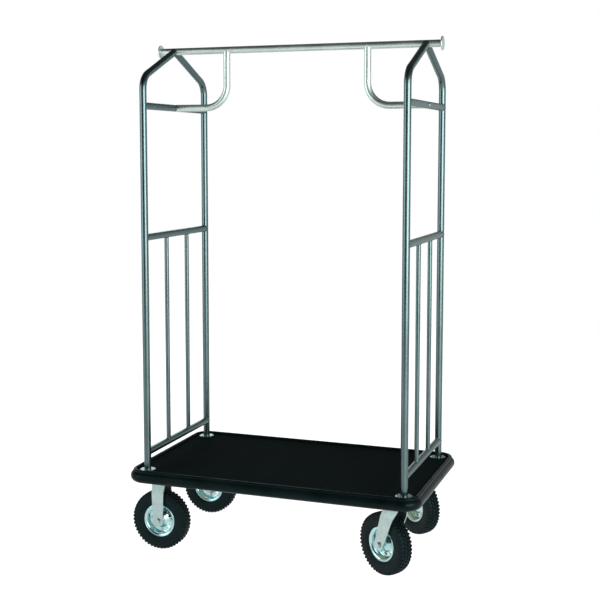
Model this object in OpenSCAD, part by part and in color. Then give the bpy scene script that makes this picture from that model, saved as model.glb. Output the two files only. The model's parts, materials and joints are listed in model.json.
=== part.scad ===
// Hotel luggage cart: carpeted deck on four pneumatic casters, with two end
// frames of bent tube that carry a hanging bar. All sizes are in millimetres.
// X runs along the cart, Y across it, and Z is up from the floor.

/* [Deck] */
// Length of the deck over its bumper
deck_l = 1080; // [900:5:1300]
// Width of the deck over its bumper
deck_w = 640; // [530:5:770]
// Radius of the bumper's corners, at its outermost line
deck_corner_r = 65; // [50:1:90]
// Thickness of the plywood board
board_t = 25; // [20:0.5:32]
// Thickness of the carpet
carpet_t = 6; // [4:0.5:9]

/* [Bumper] */
// Radius of the bumper's bulge
bulge_r = 21; // [17:0.5:26]
// Width of the flat web behind the bulge's middle
bumper_web = 1; // [1:0.5:4]
// Radius of the bead that stands over the carpet's edge
lip_r = 6; // [4:0.5:8]
// Height of that bead above the carpet
lip_h = 8; // [6:0.5:10]
// How far the bumper's rib reaches into the board
rib_reach = 12; // [8:0.5:16]
// Thickness of that rib
rib_t = 3; // [2:0.5:5]
// Distance of the bumper's butt joint from the middle of the front edge
seam_x = 262; // [150:1:350]
// Width of that joint
seam_gap = 0.5; // [0.3:0.1:1.5]

/* [End frames] */
// Outer diameter of the uprights, the crossbars and the hanging bar
tube_d = 25.4; // [20:0.1:32]
// Wall of those tubes
tube_wall = 1.5; // [1.2:0.1:2.5]
// Distance of an upright's axis from the deck's outermost line
post_inset = 62.5; // [60:0.5:80]
// Height of the low crossbar's axis above the carpet
low_bar_h = 64; // [45:1:120]
// Height of the middle crossbar's axis above the carpet
mid_bar_h = 843; // [600:1:1000]
// Height of the hanging bar's axis above the carpet
hang_bar_h = 1516; // [1250:1:1850]
// How far the top crossbar's axis is below the hanging bar's
top_bar_drop = 208; // [180:1:260]
// How far the corner of an upright's bend is below the hanging bar's axis
corner_drop = 110; // [80:1:130]
// Radius of an upright's bend, at the tube's axis
post_bend_r = 62; // [45:1:70]
// Diameter of the rungs between the low and middle crossbars
rung_d = 16; // [12:0.1:20]
// Rungs in each end frame
rung_count = 2; // [1:1:4]

/* [Hanging bar and braces] */
// Length of the hanging bar outside each upright's axis
bar_overhang = 54; // [35:1:70]
// Diameter of the bar's end caps
cap_d = 49; // [36:0.5:60]
// Thickness of a cap at its middle
cap_t = 7; // [4:0.5:12]
// Distance of a brace's upright leg from the end frame
brace_reach = 210; // [150:1:260]
// Radius of a brace's bend, at the tube's axis
brace_bend_r = 82; // [60:1:100]
// Shank diameter of the screw that holds a brace to its crossbar
brace_screw_d = 6; // [5:0.5:8]

/* [Upright fixings] */
// Diameter of the round flange under each upright
flange_d = 58; // [45:0.5:66]
// Thickness of that flange
flange_t = 2.5; // [1.5:0.5:5]
// Length of the threaded plug in an upright's foot
plug_l = 38; // [30:1:60]
// Shank diameter of the bolts through the caster plates
bolt_d = 9.5; // [8:0.1:11]

/* [Casters] */
// Outer diameter of the tyre
tyre_d = 217; // [200:1:262]
// Width of the tyre
tyre_w = 52; // [48:0.5:56]
// Diameter of the rim's flanges
rim_d = 121; // [116:1:126]
// Distance between the outsides of the two rim flanges
rim_w = 46; // [42:0.5:48]
// Height of the casters' mounting face above the top of the tyre
head_room = 52; // [50:1:70]
// Thickness of a caster's top plate
plate_t = 5; // [4:0.5:8]
// Spacing of the plate's holes along the cart
plate_hole_l = 70; // [66:1:90]
// Spacing of the plate's holes across the cart
plate_hole_w = 78; // [74:1:100]
// Distance from those holes to the plate's edge
plate_edge = 15; // [12:0.5:20]
// Thickness of the fork's sheet
fork_t = 4.5; // [3:0.5:6]
// Space between the tyre's side and the fork's leg
fork_room = 4.5; // [3:0.5:8]
// Width of a leg round the axle
leg_end_w = 40; // [34:1:46]
// Width of a leg at the crown
leg_top_w = 50; // [46:1:54]
// Shank diameter of the axle bolts
axle_d = 12; // [10:0.5:14]
// Distance of a swivel caster's axle behind its swivel axis
trail = 52; // [40:1:60]
// Angle that the front swivel caster is turned to
swivel_front_turn = -31; // [-180:1:180]
// Angle that the back swivel caster is turned to
swivel_back_turn = -38; // [-180:1:180]
// Diameter of the balls in the swivel head
ball_d = 8; // [6:0.5:9]
// Balls in each swivel head
ball_count = 14; // [8:1:16]
// Radius of the circle of balls
race_r = 25; // [24:0.5:28]
// Diameter of the kingpin
kingpin_d = 16; // [12:0.5:18]

/* [Hidden] */
$fn = 64;
WHEELS = ["rigid_front", "rigid_back", "swivel_front", "swivel_back"];
WHEEL_PIECES = ["tyre", "tube", "rim_outer", "rim_inner", "rim_bolts", "bearings"];

// clearances
fit = 0.05;         // pressed or running on the radius
loose = 0.25;       // a bolt in its hole, on the radius
weld_gap = 0.1;     // a tube's shaped end to the tube it is welded to
clear = 0.3;        // flat faces that turn past each other
ball_gap = 0.08;    // a ball to its groove
over = 1;           // how far a cut runs past a face

// heights
caster_h = tyre_d + head_room;
board_z = caster_h;
carpet_z = board_z + board_t;
deck_z = carpet_z + carpet_t;
low_bar_z = deck_z + low_bar_h;
mid_bar_z = deck_z + mid_bar_h;
bar_z = deck_z + hang_bar_h;
top_bar_z = bar_z - top_bar_drop;
plate_z = caster_h - plate_t;
axle_z = tyre_d / 2;

// plan
bumper_t = bulge_r + bumper_web;
board_l = deck_l - 2 * bumper_t;
board_w = deck_w - 2 * bumper_t;
board_corner_r = deck_corner_r - bumper_t;
post_x = deck_l / 2 - post_inset;
post_y = deck_w / 2 - post_inset;
caster_x = post_x - plate_hole_l / 2;
caster_y = post_y - plate_hole_w / 2;
plate_l = plate_hole_l + 2 * plate_edge;
plate_w = plate_hole_w + 2 * plate_edge;
brace_x = post_x - brace_reach;
bar_half = post_x + bar_overhang;

// tube
tube_r = tube_d / 2;
bore_r = tube_r - tube_wall;
rise = atan(corner_drop / post_y);   // slope of an upright's top, above level
bend = 90 - rise;                    // angle that an upright is bent through
bend_run = post_bend_r * tan(bend / 2);
bend_swell = 0.05;                   // how much fuller a tube is in its bend
bend_lap = 0.5;                      // how far a straight length runs into its bend
upright_stop = 9;                    // where an upright ends, short of the bar's axis

// fixings
bolt_r = bolt_d / 2;
bolt_head_t = 6.4;
bolt_head_r = 9.2;
nut_t = 7;
cup_head_r = 11;
cup_head_t = 4;
cup_slope = 2.5;
bolt_tail = 2;
screw_head_r = 6;
screw_head_t = 3.5;
screw_round = 2;
brace_end_l = 25;    // solid length in a brace's end that takes the screw
cap_rim_t = 2.5;
cap_edge_r = 0.8;
cap_steps = 16;      // facets of a cap's dome, from rim to middle
spigot_l = 18;
screw_end = 5;       // solid tube end left past a brace screw's tip
plug_end = 4;        // solid end of an upright's plug
bolt_short = 8;      // how far that upright's bolt stops below the plug's top
flange_bevel = 3;
axle_hex_r = 0.85 * axle_d;
axle_collar_r = 0.72 * axle_d;
axle_tail = 3;

// fork
leg_in = tyre_w / 2 + fork_room;
leg_out = leg_in + fork_t;
crown_half = 24;
shoulder_z = tyre_d - 3;   // where the legs bend in towards the crown
bend_out_r = 6;
bend_in_r = 2;
shoulder_bend_r = 12;
plate_corner_r = 10;

// swivel head
race_h = 5;
race_w = 8;
race_gap = 2;
ball_z = plate_z - race_h - race_gap / 2;
crown_z = ball_z - race_gap / 2 - race_h;
kingpin_head_r = 13;
kingpin_head_t = 6;
kingpin_sink = 3;
kingpin_round = 4;

// wheel, by radius and by distance from its middle plane
rim_t = 2;
rim_r = rim_d / 2;
seat_r = rim_r - 10.5;   // where the tyre's beads sit
web_r = 28;
bearing_r = 16;
bearing_w = 10;
cup_t = 2;
cup_in = 14.5;
hub_half = leg_in - clear;
race_ring_r = 9.5;
rim_bolt_r = 3;
rim_head_r = 5.6;
rim_head_t = 4;
rim_nut_t = 5;
rim_bolt_count = 4;
rim_bolt_pitch = 39;
rim_hole_r = 5.5;
tread_t = 7;
bead_h = 16.5;       // solid rubber between the rim's seat and the air
side_wall = 8.5;
cavity_in = seat_r + bead_h;
cavity_out = tyre_d / 2 - tread_t;
cavity_pitch = (cavity_in + cavity_out) / 2;
cavity_half_h = (cavity_out - cavity_in) / 2;
cavity_half_w = tyre_w / 2 - side_wall;
tube_skin = 2;
bead_half = 11;
bead_gap = 0.4;      // a bead to the rim's flange
bead_r = 1;
bead_lip = 1.5;      // how far a bead stands out past the rim's flange
wall_foot = 7;       // where the sidewall starts, out from the rim's flange
wall_slope = 1.5;
wall_r = 25;
bulge_w = 0.6;       // how far the sidewall bulges past the tyre's half width
shoulder_drop = 5.5; // how far a shoulder is below the tread's crown
shoulder_in = 2.5;
shoulder_r = 9;
tread_edge_r = 12;
valve_r = 4;
valve_at = 6.7;
valve_turn = 90 / rim_bolt_count;   // between a bolt and a hole
valve_tip = 35;
valve_lap = 4;       // how far the stem runs into the tube

// colours
gunmetal = [0.36, 0.40, 0.41];
stainless = [0.74, 0.78, 0.76];
zinc = [0.70, 0.78, 0.79];
steel = [0.62, 0.64, 0.64];
vinyl = [0.10, 0.12, 0.13];
carpet_black = [0.05, 0.06, 0.06];
ply = [0.72, 0.58, 0.40];
rubber = [0.08, 0.09, 0.09];

// ---------- outlines ----------

function unit(v) = v / norm(v);

// Points along the arc that rounds corner b, between a and c, to radius r.
function corner(a, b, c, r, n = 6) =
    r <= 0 ? [b] :
    let (
        u = unit(a - b),
        v = unit(c - b),
        half = acos(u * v) / 2,
        m = b + unit(u + v) * r / sin(half),
        s = b + u * r / tan(half) - m,
        e = b + v * r / tan(half) - m,
        from = atan2(s.y, s.x),
        turn = (atan2(e.y, e.x) - from + 540) % 360 - 180
    )
    [for (i = [0 : n]) m + r * [cos(from + turn * i / n), sin(from + turn * i / n)]];

// A closed outline whose corners, each given as [x, y, radius], are rounded.
function rounded(p) =
    let (n = len(p), q = [for (c = p) [c.x, c.y]])
    [for (i = [0 : n - 1]) each corner(q[(i + n - 1) % n], q[i], q[(i + 1) % n], p[i][2])];

// Where a line from p touches the circle of radius r round c, on the given side.
function touch(p, c, r, side) =
    let (d = p - c, a = atan2(d.y, d.x) + side * acos(r / norm(d)))
    c + r * [cos(a), sin(a)];

module rounded_plate(l, w, r, t) {
    linear_extrude(t) {
        square([l - 2 * r, w], center = true);
        square([l, w - 2 * r], center = true);
        for (x = [-1, 1], y = [-1, 1])
            translate([x * (l / 2 - r), y * (w / 2 - r)]) circle(r);
    }
}

module ring(r_out, r_in, h) {
    difference() {
        cylinder(h = h, r = r_out);
        translate([0, 0, -over]) cylinder(h = h + 2 * over, r = r_in);
    }
}

module hex(r, h) {
    cylinder(h = h, r = r, $fn = 6);
}

module along_x(l, r) {
    rotate([0, 90, 0]) cylinder(h = l, r = r, center = true);
}

module along_y(l, r) {
    rotate([90, 0, 0]) cylinder(h = l, r = r, center = true);
}

module at_posts() {
    for (x = [-1, 1], y = [-1, 1]) translate([x * post_x, y * post_y, 0]) children();
}

// The three holes of each caster plate that don't take an upright's bolt.
module at_caster_bolts() {
    for (x = [-1, 1], y = [-1, 1], i = [-1, 1], j = [-1, 1])
        if (i != x || j != y)
            translate([x * caster_x + i * plate_hole_l / 2, y * caster_y + j * plate_hole_w / 2, 0])
                children();
}

// ---------- deck ----------

module deck_board() {
    color(ply)
        difference() {
            translate([0, 0, board_z]) rounded_plate(board_l, board_w, board_corner_r, board_t);
            rib_groove();
            at_posts() translate([0, 0, board_z - over])
                cylinder(h = board_t + 2 * over, r = bolt_r + loose);
            at_caster_bolts() {
                translate([0, 0, board_z - over])
                    cylinder(h = board_t + 2 * over, r = bolt_r + loose);
                translate([0, 0, carpet_z - cup_head_t - loose])
                    cylinder(h = cup_head_t + over, r = cup_head_r + loose);
            }
        }
}

// The saw cut round the board's edge that the bumper's rib is pressed into.
module rib_groove() {
    depth = rib_reach + clear;
    h = rib_t + 2 * fit;
    translate([0, 0, board_z + board_t / 2 - h / 2])
        difference() {
            rounded_plate(board_l + 2 * over, board_w + 2 * over, board_corner_r + over, h);
            translate([0, 0, -over])
                rounded_plate(board_l - 2 * depth, board_w - 2 * depth,
                              board_corner_r - depth, h + 2 * over);
        }
}

module deck_carpet() {
    color(carpet_black)
        difference() {
            translate([0, 0, carpet_z])
                rounded_plate(board_l - 2 * fit, board_w - 2 * fit, board_corner_r - fit, carpet_t);
            at_posts() translate([0, 0, carpet_z - over])
                cylinder(h = carpet_t + 2 * over, r = bolt_r + loose);
        }
}

// The bumper's section: x is measured in from its outermost line, y is height.
module bumper_section() {
    mid = board_z + board_t / 2;
    difference() {
        translate([bulge_r, mid]) circle(bulge_r);
        translate([bumper_t, mid - bulge_r - over]) square([bulge_r, 2 * bulge_r + 2 * over]);
    }
    translate([bumper_t - lip_r, deck_z + lip_h - lip_r]) circle(lip_r);
    translate([bulge_r / 2, mid - rib_t / 2]) square([bumper_t - bulge_r / 2 + rib_reach, rib_t]);
}

module bumper() {
    flat_l = deck_l - 2 * deck_corner_r;
    flat_w = deck_w - 2 * deck_corner_r;
    color(vinyl)
        difference() {
            union() {
                for (s = [0, 180]) rotate([0, 0, s]) {
                    translate([-flat_l / 2, -deck_w / 2, 0]) rotate([90, 0, 90])
                        linear_extrude(flat_l) bumper_section();
                    translate([-deck_l / 2, flat_w / 2, 0]) rotate([90, 0, 0])
                        linear_extrude(flat_w) bumper_section();
                    for (c = [[-1, -1, 180], [1, -1, 270]])
                        translate([c.x * flat_l / 2, c.y * flat_w / 2, 0]) rotate([0, 0, c[2]])
                            rotate_extrude(angle = 90)
                                translate([deck_corner_r, 0]) mirror([1, 0]) bumper_section();
                }
            }
            translate([-seam_x, -deck_w / 2 + bumper_t / 2, deck_z - board_t])
                cube([seam_gap, 3 * bumper_t, 4 * bulge_r], center = true);
        }
}

// ---------- end frames ----------

// A solid bar that rises from the origin, bends over towards +y and runs on.
// The bend is a little fuller than the straight lengths, which lap into it.
module bent_bar(r, first_l, bend_radius, angle, second_l, extra = 0) {
    translate([0, 0, -extra]) cylinder(h = first_l + extra + bend_lap, r = r);
    translate([0, bend_radius, first_l]) rotate([90, 0, -90]) {
        rotate_extrude(angle = angle) translate([bend_radius, 0]) circle(r + bend_swell);
        rotate([0, 0, angle]) translate([bend_radius, -bend_lap, 0]) rotate([-90, 0, 0])
            cylinder(h = second_l + extra + bend_lap, r = r);
    }
}

// An upright from its foot to the hanging bar's axis, at the front.
module upright_bar(r, extra = 0) {
    foot = deck_z + flange_t;
    translate([0, -post_y, foot])
        bent_bar(r, bar_z - corner_drop - bend_run - foot, post_bend_r, bend,
                 post_y / cos(rise) - bend_run, extra);
}

module upright(x, side) {
    color(gunmetal)
        translate([x * post_x, 0, 0]) mirror([0, side > 0 ? 1 : 0, 0])
            difference() {
                upright_bar(tube_r);
                upright_bar(bore_r, over);
                translate([0, 0, bar_z]) along_x(2 * tube_d, tube_r + weld_gap);
                translate([-tube_d, -upright_stop, bar_z - tube_d]) cube(2 * tube_d);
            }
}

// A level tube between the two uprights of one end frame.
module crossbar(x, z) {
    color(gunmetal)
        difference() {
            translate([x * post_x, 0, z]) along_y(2 * post_y, tube_r);
            translate([x * post_x, 0, z]) along_y(2 * post_y + over, bore_r);
            for (y = [-1, 1])
                translate([x * post_x, y * post_y, z - tube_d])
                    cylinder(h = 2 * tube_d, r = tube_r + weld_gap);
            if (z == top_bar_z)
                translate([x * post_x, 0, z])
                    along_x(2 * tube_d, brace_screw_d / 2 + loose);
        }
}

module rungs() {
    pitch = 2 * post_y / (rung_count + 1);
    color(gunmetal)
        for (x = [-1, 1], i = [1 : rung_count])
            difference() {
                translate([x * post_x, -post_y + i * pitch, low_bar_z])
                    ring(rung_d / 2, rung_d / 2 - tube_wall, mid_bar_z - low_bar_z);
                for (z = [low_bar_z, mid_bar_z])
                    translate([x * post_x, 0, z]) along_y(2 * post_y, tube_r + weld_gap);
            }
}

module hang_bar() {
    color(stainless)
        translate([0, 0, bar_z])
            difference() {
                along_x(2 * bar_half, tube_r);
                along_x(2 * bar_half + over, bore_r);
            }
}

// A domed disc with a spigot that is pressed into the bar's end.
module bar_caps() {
    r = cap_d / 2;
    color(stainless)
        for (x = [-1, 1])
            translate([x * bar_half, 0, bar_z]) rotate([0, x * 90, 0])
                rotate_extrude()
                    polygon(rounded([
                        [0, -spigot_l, 0], [bore_r - fit, -spigot_l, 0], [bore_r - fit, 0, 0],
                        [r, 0, cap_edge_r], [r, cap_rim_t, 0],
                        for (i = [1 : cap_steps]) [
                            r * cos(90 * i / cap_steps),
                            cap_rim_t + (cap_t - cap_rim_t) * sin(90 * i / cap_steps),
                            0
                        ]
                    ]));
}

// A brace from the top crossbar's axis to the hanging bar's, at the left.
module brace_bar(r, extra = 0) {
    translate([-post_x, 0, top_bar_z]) rotate([90, 0, 90])
        bent_bar(r, brace_reach - brace_bend_r, brace_bend_r, 90,
                 bar_z - top_bar_z - brace_bend_r, extra);
}

// A bent tube from the top crossbar in along the cart and up to the hanging bar.
// Its lower end is solid and tapped for the screw that comes through the crossbar.
module brace(x) {
    color(stainless)
        mirror([x > 0 ? 1 : 0, 0, 0])
            difference() {
                brace_bar(tube_r);
                difference() {
                    brace_bar(bore_r, over);
                    translate([-post_x, 0, top_bar_z])
                        along_x(2 * (tube_r + brace_end_l), tube_r);
                }
                translate([-post_x, 0, top_bar_z]) {
                    along_y(4 * tube_d, tube_r + weld_gap);
                    along_x(2 * (tube_r + brace_end_l) - over, brace_screw_d / 2 + fit);
                }
                translate([0, 0, bar_z]) along_x(2 * post_x, tube_r + weld_gap);
            }
}

module brace_screws() {
    color(steel)
        for (x = [-1, 1])
            translate([x * (post_x + tube_r + weld_gap), 0, top_bar_z]) rotate([0, x * 90, 0]) {
                rotate_extrude()
                    polygon(rounded([
                        [0, 0, 0], [screw_head_r, 0, 0], [screw_head_r, screw_head_t, screw_round],
                        [0, screw_head_t, 0]
                    ]));
                translate([0, 0, -2 * tube_r - brace_end_l + screw_end])
                    cylinder(h = 2 * tube_r + brace_end_l - screw_end + over,
                             r = brace_screw_d / 2);
            }
}

// ---------- upright fixings ----------

module upright_flanges() {
    r = flange_d / 2;
    color(zinc)
        at_posts() translate([0, 0, deck_z])
            rotate_extrude()
                polygon([
                    [bolt_r + loose, 0], [r, 0], [r, flange_t / 2], [r - flange_bevel, flange_t],
                    [bolt_r + loose, flange_t]
                ]);
}

module upright_plugs() {
    color(steel)
        at_posts() translate([0, 0, deck_z + flange_t])
            difference() {
                cylinder(h = plug_l, r = bore_r - fit);
                translate([0, 0, -over])
                    cylinder(h = plug_l - plug_end + over, r = bolt_r + fit);
            }
}

module upright_bolts() {
    top = deck_z + flange_t + plug_l - bolt_short;
    color(zinc)
        at_posts() {
            translate([0, 0, plate_z - bolt_head_t]) hex(bolt_head_r, bolt_head_t);
            translate([0, 0, plate_z - over]) cylinder(h = top - plate_z + over, r = bolt_r);
        }
}

module caster_bolts() {
    tail_z = plate_z - nut_t - bolt_tail;
    color(zinc)
        at_caster_bolts() {
            translate([0, 0, tail_z]) cylinder(h = carpet_z - over - tail_z, r = bolt_r);
            translate([0, 0, carpet_z - cup_head_t])
                cylinder(h = cup_head_t - loose, r1 = cup_head_r, r2 = cup_head_r - cup_slope);
        }
}

module caster_nuts() {
    color(zinc)
        at_caster_bolts() translate([0, 0, plate_z - nut_t])
            difference() {
                hex(bolt_head_r, nut_t);
                translate([0, 0, -over]) cylinder(h = nut_t + 2 * over, r = bolt_r + fit);
            }
}

// ---------- casters ----------

module top_plate() {
    difference() {
        translate([0, 0, plate_z]) rounded_plate(plate_l, plate_w, plate_corner_r, plate_t);
        for (x = [-1, 1], y = [-1, 1])
            translate([x * plate_hole_l / 2, y * plate_hole_w / 2, plate_z - over])
                cylinder(h = plate_t + 2 * over, r = bolt_r + loose);
    }
}

// The bent sheet of a fork, seen along the cart: crown, sloping shoulders, legs.
module fork_section(top_z) {
    slope = atan((leg_out - crown_half) / (top_z - shoulder_z));
    foot = axle_z - leg_end_w / 2 - over;
    inner_shoulder = shoulder_z - fork_t * tan(slope / 2);
    inner_crown = crown_half - fork_t * tan((90 - slope) / 2);
    polygon(rounded([
        [-leg_out, foot, 0], [-leg_out, shoulder_z, shoulder_bend_r],
        [-crown_half, top_z, bend_out_r], [crown_half, top_z, bend_out_r],
        [leg_out, shoulder_z, shoulder_bend_r], [leg_out, foot, 0],
        [leg_in, foot, 0], [leg_in, inner_shoulder, shoulder_bend_r],
        [inner_crown, top_z - fork_t, bend_in_r], [-inner_crown, top_z - fork_t, bend_in_r],
        [-leg_in, inner_shoulder, shoulder_bend_r], [-leg_in, foot, 0]
    ]));
}

// A fork's outline from the side, with its crown over x = 0 and its axle at
// x = -back: a round end at the axle and straight edges up to the crown.
module leg_outline(top_z, back, half) {
    c = [-back, axle_z];
    r = leg_end_w / 2;
    a = [-half, top_z];
    b = [half, top_z];
    translate(c) circle(r);
    polygon([a, touch(a, c, r, 1), c, touch(b, c, r, -1), b]);
}

module fork_sheet(top_z, back, half) {
    difference() {
        intersection() {
            rotate([90, 0, 90]) translate([0, 0, -back - leg_end_w])
                linear_extrude(back + leg_end_w + 2 * half) fork_section(top_z);
            rotate([90, 0, 0]) translate([0, 0, -leg_out - over])
                linear_extrude(2 * leg_out + 2 * over) leg_outline(top_z, back, half);
        }
        translate([-back, 0, axle_z]) along_y(4 * leg_out, axle_d / 2 + loose);
    }
}

module rigid_fork(side) {
    color(zinc)
        translate([-caster_x, side * caster_y, 0]) {
            top_plate();
            fork_sheet(plate_z, 0, leg_top_w / 2);
        }
}

// A flat ring with a half-round groove, for one side of the ball race.
module race_ring(z) {
    difference() {
        translate([0, 0, z]) ring(race_r + race_w, race_r - race_w, race_h);
        rotate_extrude() translate([race_r, ball_z]) circle(ball_d / 2 + ball_gap);
    }
}

module swivel_plates() {
    color(zinc)
        for (y = [-1, 1])
            translate([caster_x, y * caster_y, 0])
                difference() {
                    union() {
                        top_plate();
                        race_ring(plate_z - race_h);
                    }
                    kingpin_bar(fit);
                }
}

// The kingpin's shank and sunk head, grown by the given clearance.
module kingpin_bar(gap) {
    r = kingpin_d / 2 + gap;
    bottom = crown_z - fork_t - kingpin_head_t;
    translate([0, 0, bottom]) cylinder(h = caster_h - over - bottom, r = r);
    translate([0, 0, caster_h - kingpin_sink])
        cylinder(h = kingpin_sink, r1 = r, r2 = r + kingpin_sink);
}

module kingpins() {
    head_z = crown_z - fork_t - clear - kingpin_head_t;
    color(steel)
        for (y = [-1, 1])
            translate([caster_x, y * caster_y, 0]) {
                kingpin_bar(0);
                translate([0, 0, head_z]) rotate_extrude()
                    polygon(rounded([
                        [0, 0, 0], [kingpin_head_r, 0, kingpin_round],
                        [kingpin_head_r, kingpin_head_t, 0], [0, kingpin_head_t, 0]
                    ]));
            }
}

module at_swivel(side) {
    turn = side < 0 ? swivel_front_turn : swivel_back_turn;
    translate([caster_x, side * caster_y, 0]) rotate([0, 0, turn]) children();
}

module swivel_fork(side) {
    crown_reach = race_r + race_w;
    color(zinc)
        at_swivel(side)
            difference() {
                union() {
                    fork_sheet(crown_z, trail, crown_reach);
                    race_ring(crown_z);
                    translate([0, 0, crown_z - fork_t]) cylinder(h = fork_t, r = crown_reach);
                }
                translate([0, 0, crown_z - 2 * fork_t])
                    cylinder(h = 4 * fork_t, r = kingpin_d / 2 + ball_gap);
            }
}

module swivel_balls(side) {
    color(steel)
        at_swivel(side)
            for (i = [0 : ball_count - 1])
                rotate([0, 0, 360 * i / ball_count]) translate([race_r, 0, ball_z])
                    sphere(ball_d / 2);
}

// A hex bolt through both legs, with its head on the +z side.
module axle_bolt() {
    tail = leg_out + nut_t + axle_tail;
    translate([0, 0, -tail]) cylinder(h = tail + leg_out + over, r = axle_d / 2);
    translate([0, 0, leg_out]) hex(axle_hex_r, nut_t);
}

// The nut has a round collar on its side towards the leg.
module axle_nut() {
    translate([0, 0, -leg_out - nut_t - over])
        difference() {
            union() {
                hex(axle_hex_r, nut_t);
                cylinder(h = nut_t + over, r = axle_collar_r);
            }
            translate([0, 0, -over]) cylinder(h = nut_t + 4 * over, r = axle_d / 2 + fit);
        }
}

// Moves a piece made round the z axis to an axle, with +z to the outside.
module at_axle(wheel) {
    side = wheel == "rigid_front" || wheel == "swivel_front" ? -1 : 1;
    if (wheel == "rigid_front" || wheel == "rigid_back")
        translate([-caster_x, side * caster_y, axle_z]) rotate([-90 * side, 0, 0]) children();
    else
        at_swivel(side) translate([-trail, 0, axle_z]) rotate([-90 * side, 0, 0]) children();
}

module rigid_axles() {
    color(zinc) for (w = ["rigid_front", "rigid_back"]) at_axle(w) axle_bolt();
}

module rigid_axle_nuts() {
    color(zinc) for (w = ["rigid_front", "rigid_back"]) at_axle(w) axle_nut();
}

module swivel_axle(wheel) {
    color(zinc) at_axle(wheel) {
        axle_bolt();
        axle_nut();
    }
}

// ---------- wheels, made round the z axis ----------

// The air space in a tyre, or the same shape made smaller by a gap.
module cavity(gap) {
    r = min(cavity_half_h, cavity_half_w);
    spare_h = cavity_half_h - r;
    spare_w = cavity_half_w - r;
    translate([cavity_pitch, 0]) {
        for (x = spare_h > 0 ? [-1, 1] : [0], y = spare_w > 0 ? [-1, 1] : [0])
            translate([x * spare_h, y * spare_w]) circle(r - gap);
        if (spare_h > 0) square([2 * spare_h, 2 * (r - gap)], center = true);
        if (spare_w > 0) square([2 * (r - gap), 2 * spare_w], center = true);
    }
}

module tyre() {
    bead_out = rim_w / 2 - rim_t - bead_gap;
    side = tyre_w / 2 + bulge_w;
    tread_r = tyre_d / 2;
    // one side from bead to tread, as [radius, distance out, corner radius]
    half = [
        [seat_r + clear, bead_out, bead_r], [rim_r + bead_lip, bead_out, bead_r],
        [rim_r + wall_foot, side - wall_slope, 4], [cavity_pitch, side, wall_r],
        [tread_r - shoulder_drop, side - shoulder_in, shoulder_r], [tread_r, side / 2, tread_edge_r]
    ];
    color(rubber)
        rotate_extrude()
            difference() {
                polygon(rounded([
                    for (p = half) [p.x, -p.y, p.z],
                    for (i = [len(half) - 1 : -1 : 0]) half[i]
                ]));
                cavity(0);
                translate([seat_r - over, -bead_half])
                    square([cavity_pitch - seat_r, 2 * bead_half]);
            }
}

// The inner tube, with its valve stem.
module inner_tube() {
    color(rubber)
        difference() {
            union() {
                rotate_extrude() cavity(clear);
                translate([0, 0, valve_at]) rotate([0, 90, valve_turn])
                    translate([0, 0, valve_tip])
                        cylinder(h = cavity_in + clear - valve_tip + valve_lap, r = valve_r);
            }
            rotate_extrude() cavity(clear + tube_skin);
        }
}

// One pressed half of the rim, on the +z side, from its flange to its bearing cup.
module rim_half() {
    cup_r = bearing_r + fit;
    edge = rim_w / 2;
    difference() {
        rotate_extrude()
            polygon(rounded([
                [rim_r, edge, 0.9], [rim_r, edge - rim_t, 0.9],
                [seat_r, edge - rim_t, 1.2], [seat_r, 0, 2],
                [web_r, 0, 3], [cup_r, cup_in - rim_t, 2], [race_ring_r + 2, cup_in - rim_t, 0],
                [race_ring_r + 2, cup_in, 0], [cup_r, cup_in, 0],
                [cup_r, cup_in + bearing_w, 0], [cup_r + cup_t, cup_in + bearing_w, 0.8],
                [cup_r + cup_t, cup_in, 2], [web_r + 1, rim_t, 4],
                [seat_r - rim_t, rim_t, 3], [seat_r - rim_t, edge, 2]
            ]));
        for (i = [0 : rim_bolt_count - 1]) rotate([0, 0, 360 * i / rim_bolt_count]) {
            translate([rim_bolt_pitch, 0, -over])
                cylinder(h = rim_t + 2 * over, r = rim_bolt_r + loose);
            rotate([0, 0, 180 / rim_bolt_count]) translate([rim_bolt_pitch, 0, -over])
                cylinder(h = rim_t + 2 * over, r = rim_hole_r);
        }
    }
}

module rim_outer() {
    color(zinc)
        difference() {
            rim_half();
            translate([0, 0, valve_at]) rotate([0, 90, valve_turn])
                translate([0, 0, seat_r - 2 * rim_t])
                    cylinder(h = 3 * rim_t, r = valve_r + clear);
        }
}

module rim_inner() {
    color(zinc) mirror([0, 0, 1]) rim_half();
}

module rim_bolts() {
    color(steel)
        for (i = [0 : rim_bolt_count - 1])
            rotate([0, 0, 360 * i / rim_bolt_count]) translate([rim_bolt_pitch, 0, 0]) {
                translate([0, 0, -rim_t - rim_nut_t - over])
                    cylinder(h = 2 * rim_t + rim_nut_t + 2 * over, r = rim_bolt_r);
                translate([0, 0, rim_t]) hex(rim_head_r, rim_head_t);
                translate([0, 0, -rim_t - rim_nut_t])
                    difference() {
                        hex(rim_head_r, rim_nut_t);
                        translate([0, 0, -over])
                            cylinder(h = rim_nut_t + 2 * over, r = rim_bolt_r + fit);
                    }
            }
}

// Two sealed bearings whose inner rings reach out to the fork's legs.
module bearings() {
    bore = axle_d / 2 + fit;
    color(steel)
        for (s = [0, 1]) mirror([0, 0, s])
            rotate_extrude()
                polygon([
                    [bore, cup_in], [bearing_r, cup_in], [bearing_r, cup_in + bearing_w],
                    [race_ring_r, cup_in + bearing_w], [race_ring_r, hub_half], [bore, hub_half]
                ]);
}

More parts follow.
